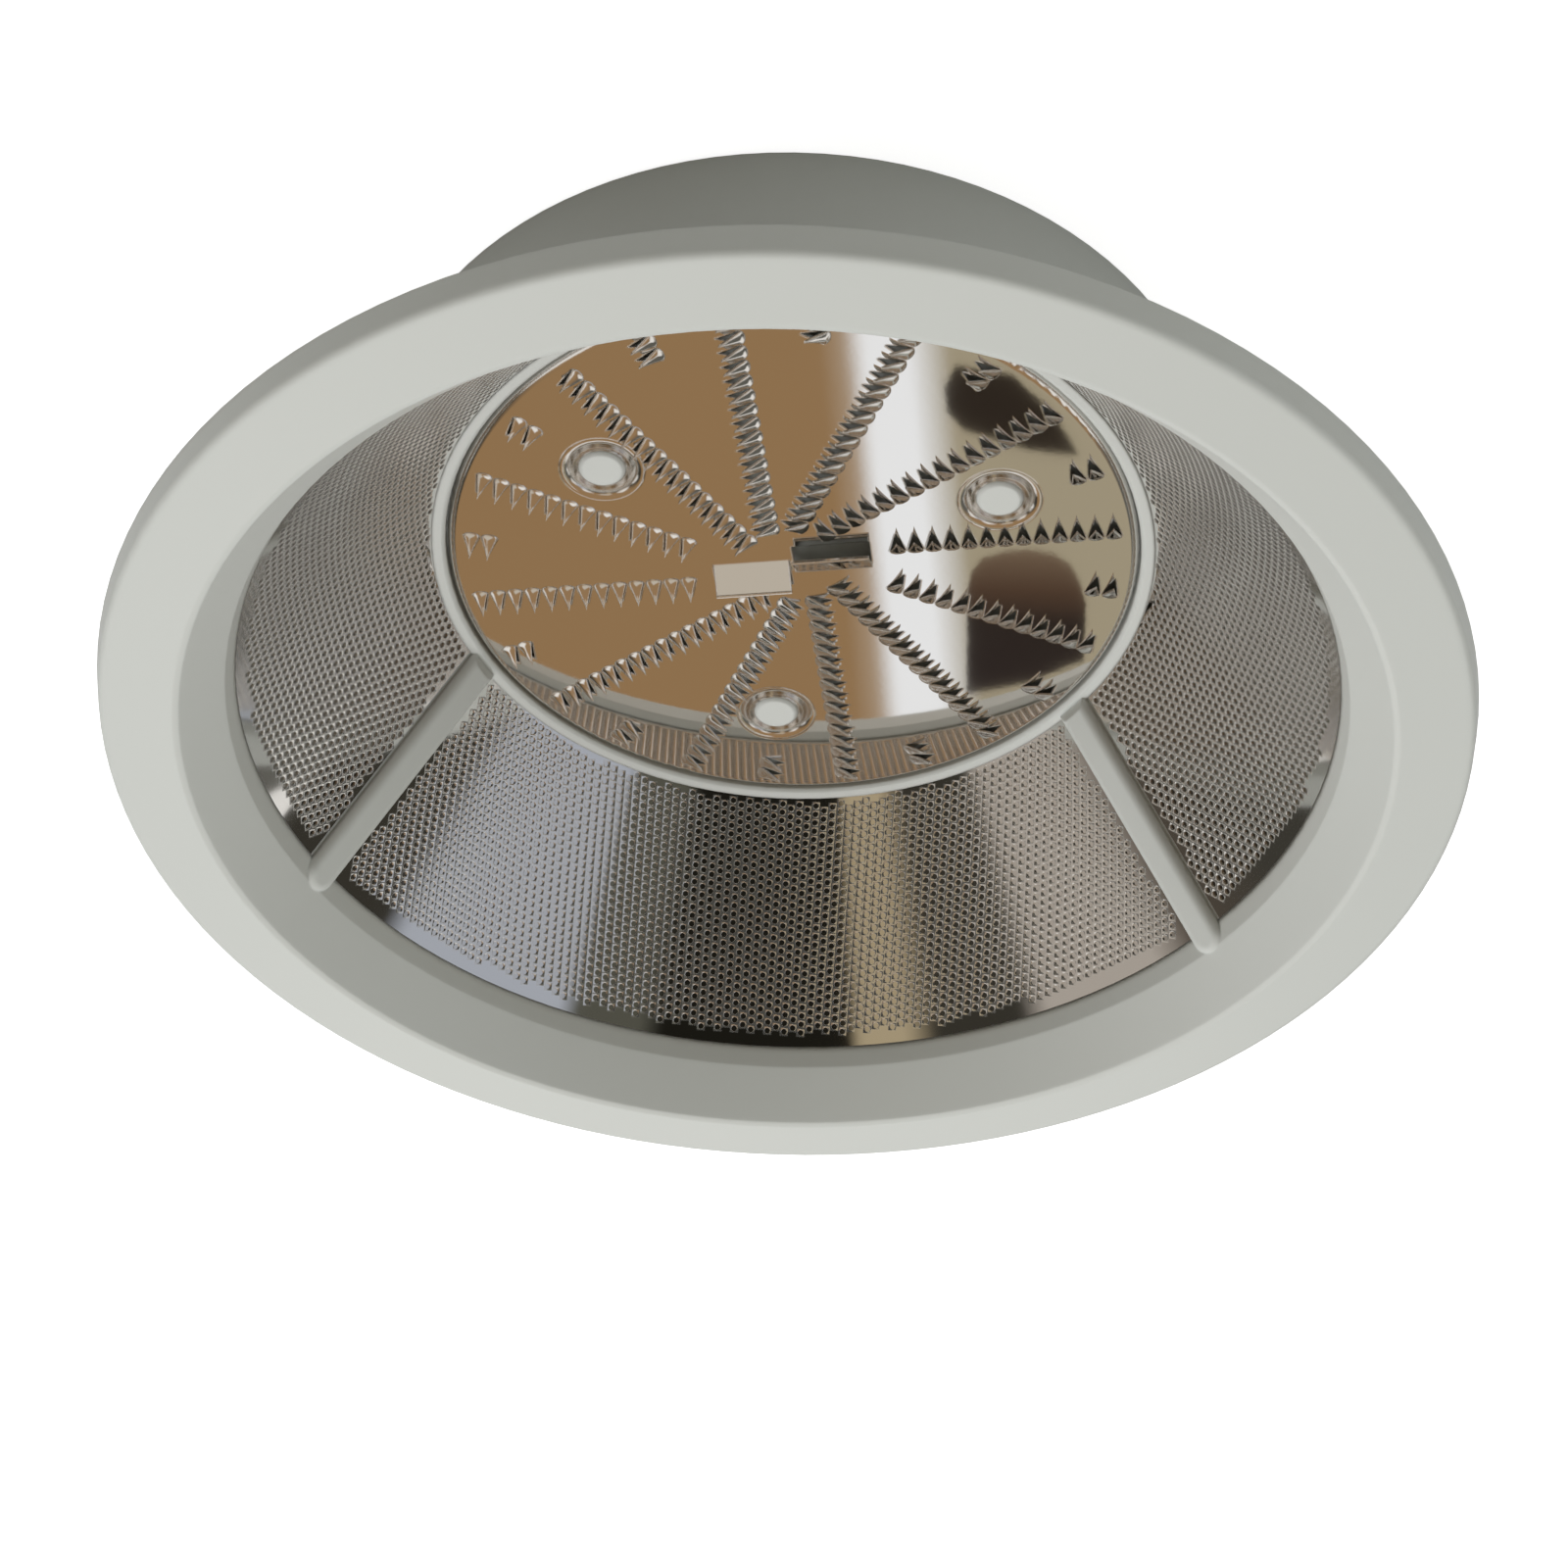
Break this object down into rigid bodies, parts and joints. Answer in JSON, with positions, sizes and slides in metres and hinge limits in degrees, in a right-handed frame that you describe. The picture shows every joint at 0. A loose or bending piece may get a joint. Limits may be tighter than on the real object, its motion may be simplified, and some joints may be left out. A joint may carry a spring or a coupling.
{
  "type": "juicer mesh screen",
  "caption": "Sieve basket of a centrifugal juicer: a pale plastic rim, ribs and drum around a conical steel mesh, with a toothed steel grater disc in the floor.",
  "frame": {"origin": "on the axis of rotation, in the plane of the drum's foot", "axes": "+Z along the axis of rotation, up through the open bowl; +X under the first rib"},
  "size_m": [0.1514, 0.1514, 0.0483],
  "materials": {
    "frame_plastic": "satin light grey moulding",
    "screen_steel": "bright perforated stainless sheet",
    "disc_steel": "bright stainless sheet with lanced teeth"
  },
  "bodies": {
    "root": {"basket_frame": "frame_plastic", "mesh_screen": "screen_steel", "grater_disc": "disc_steel"}
  },
  "joints": []
}
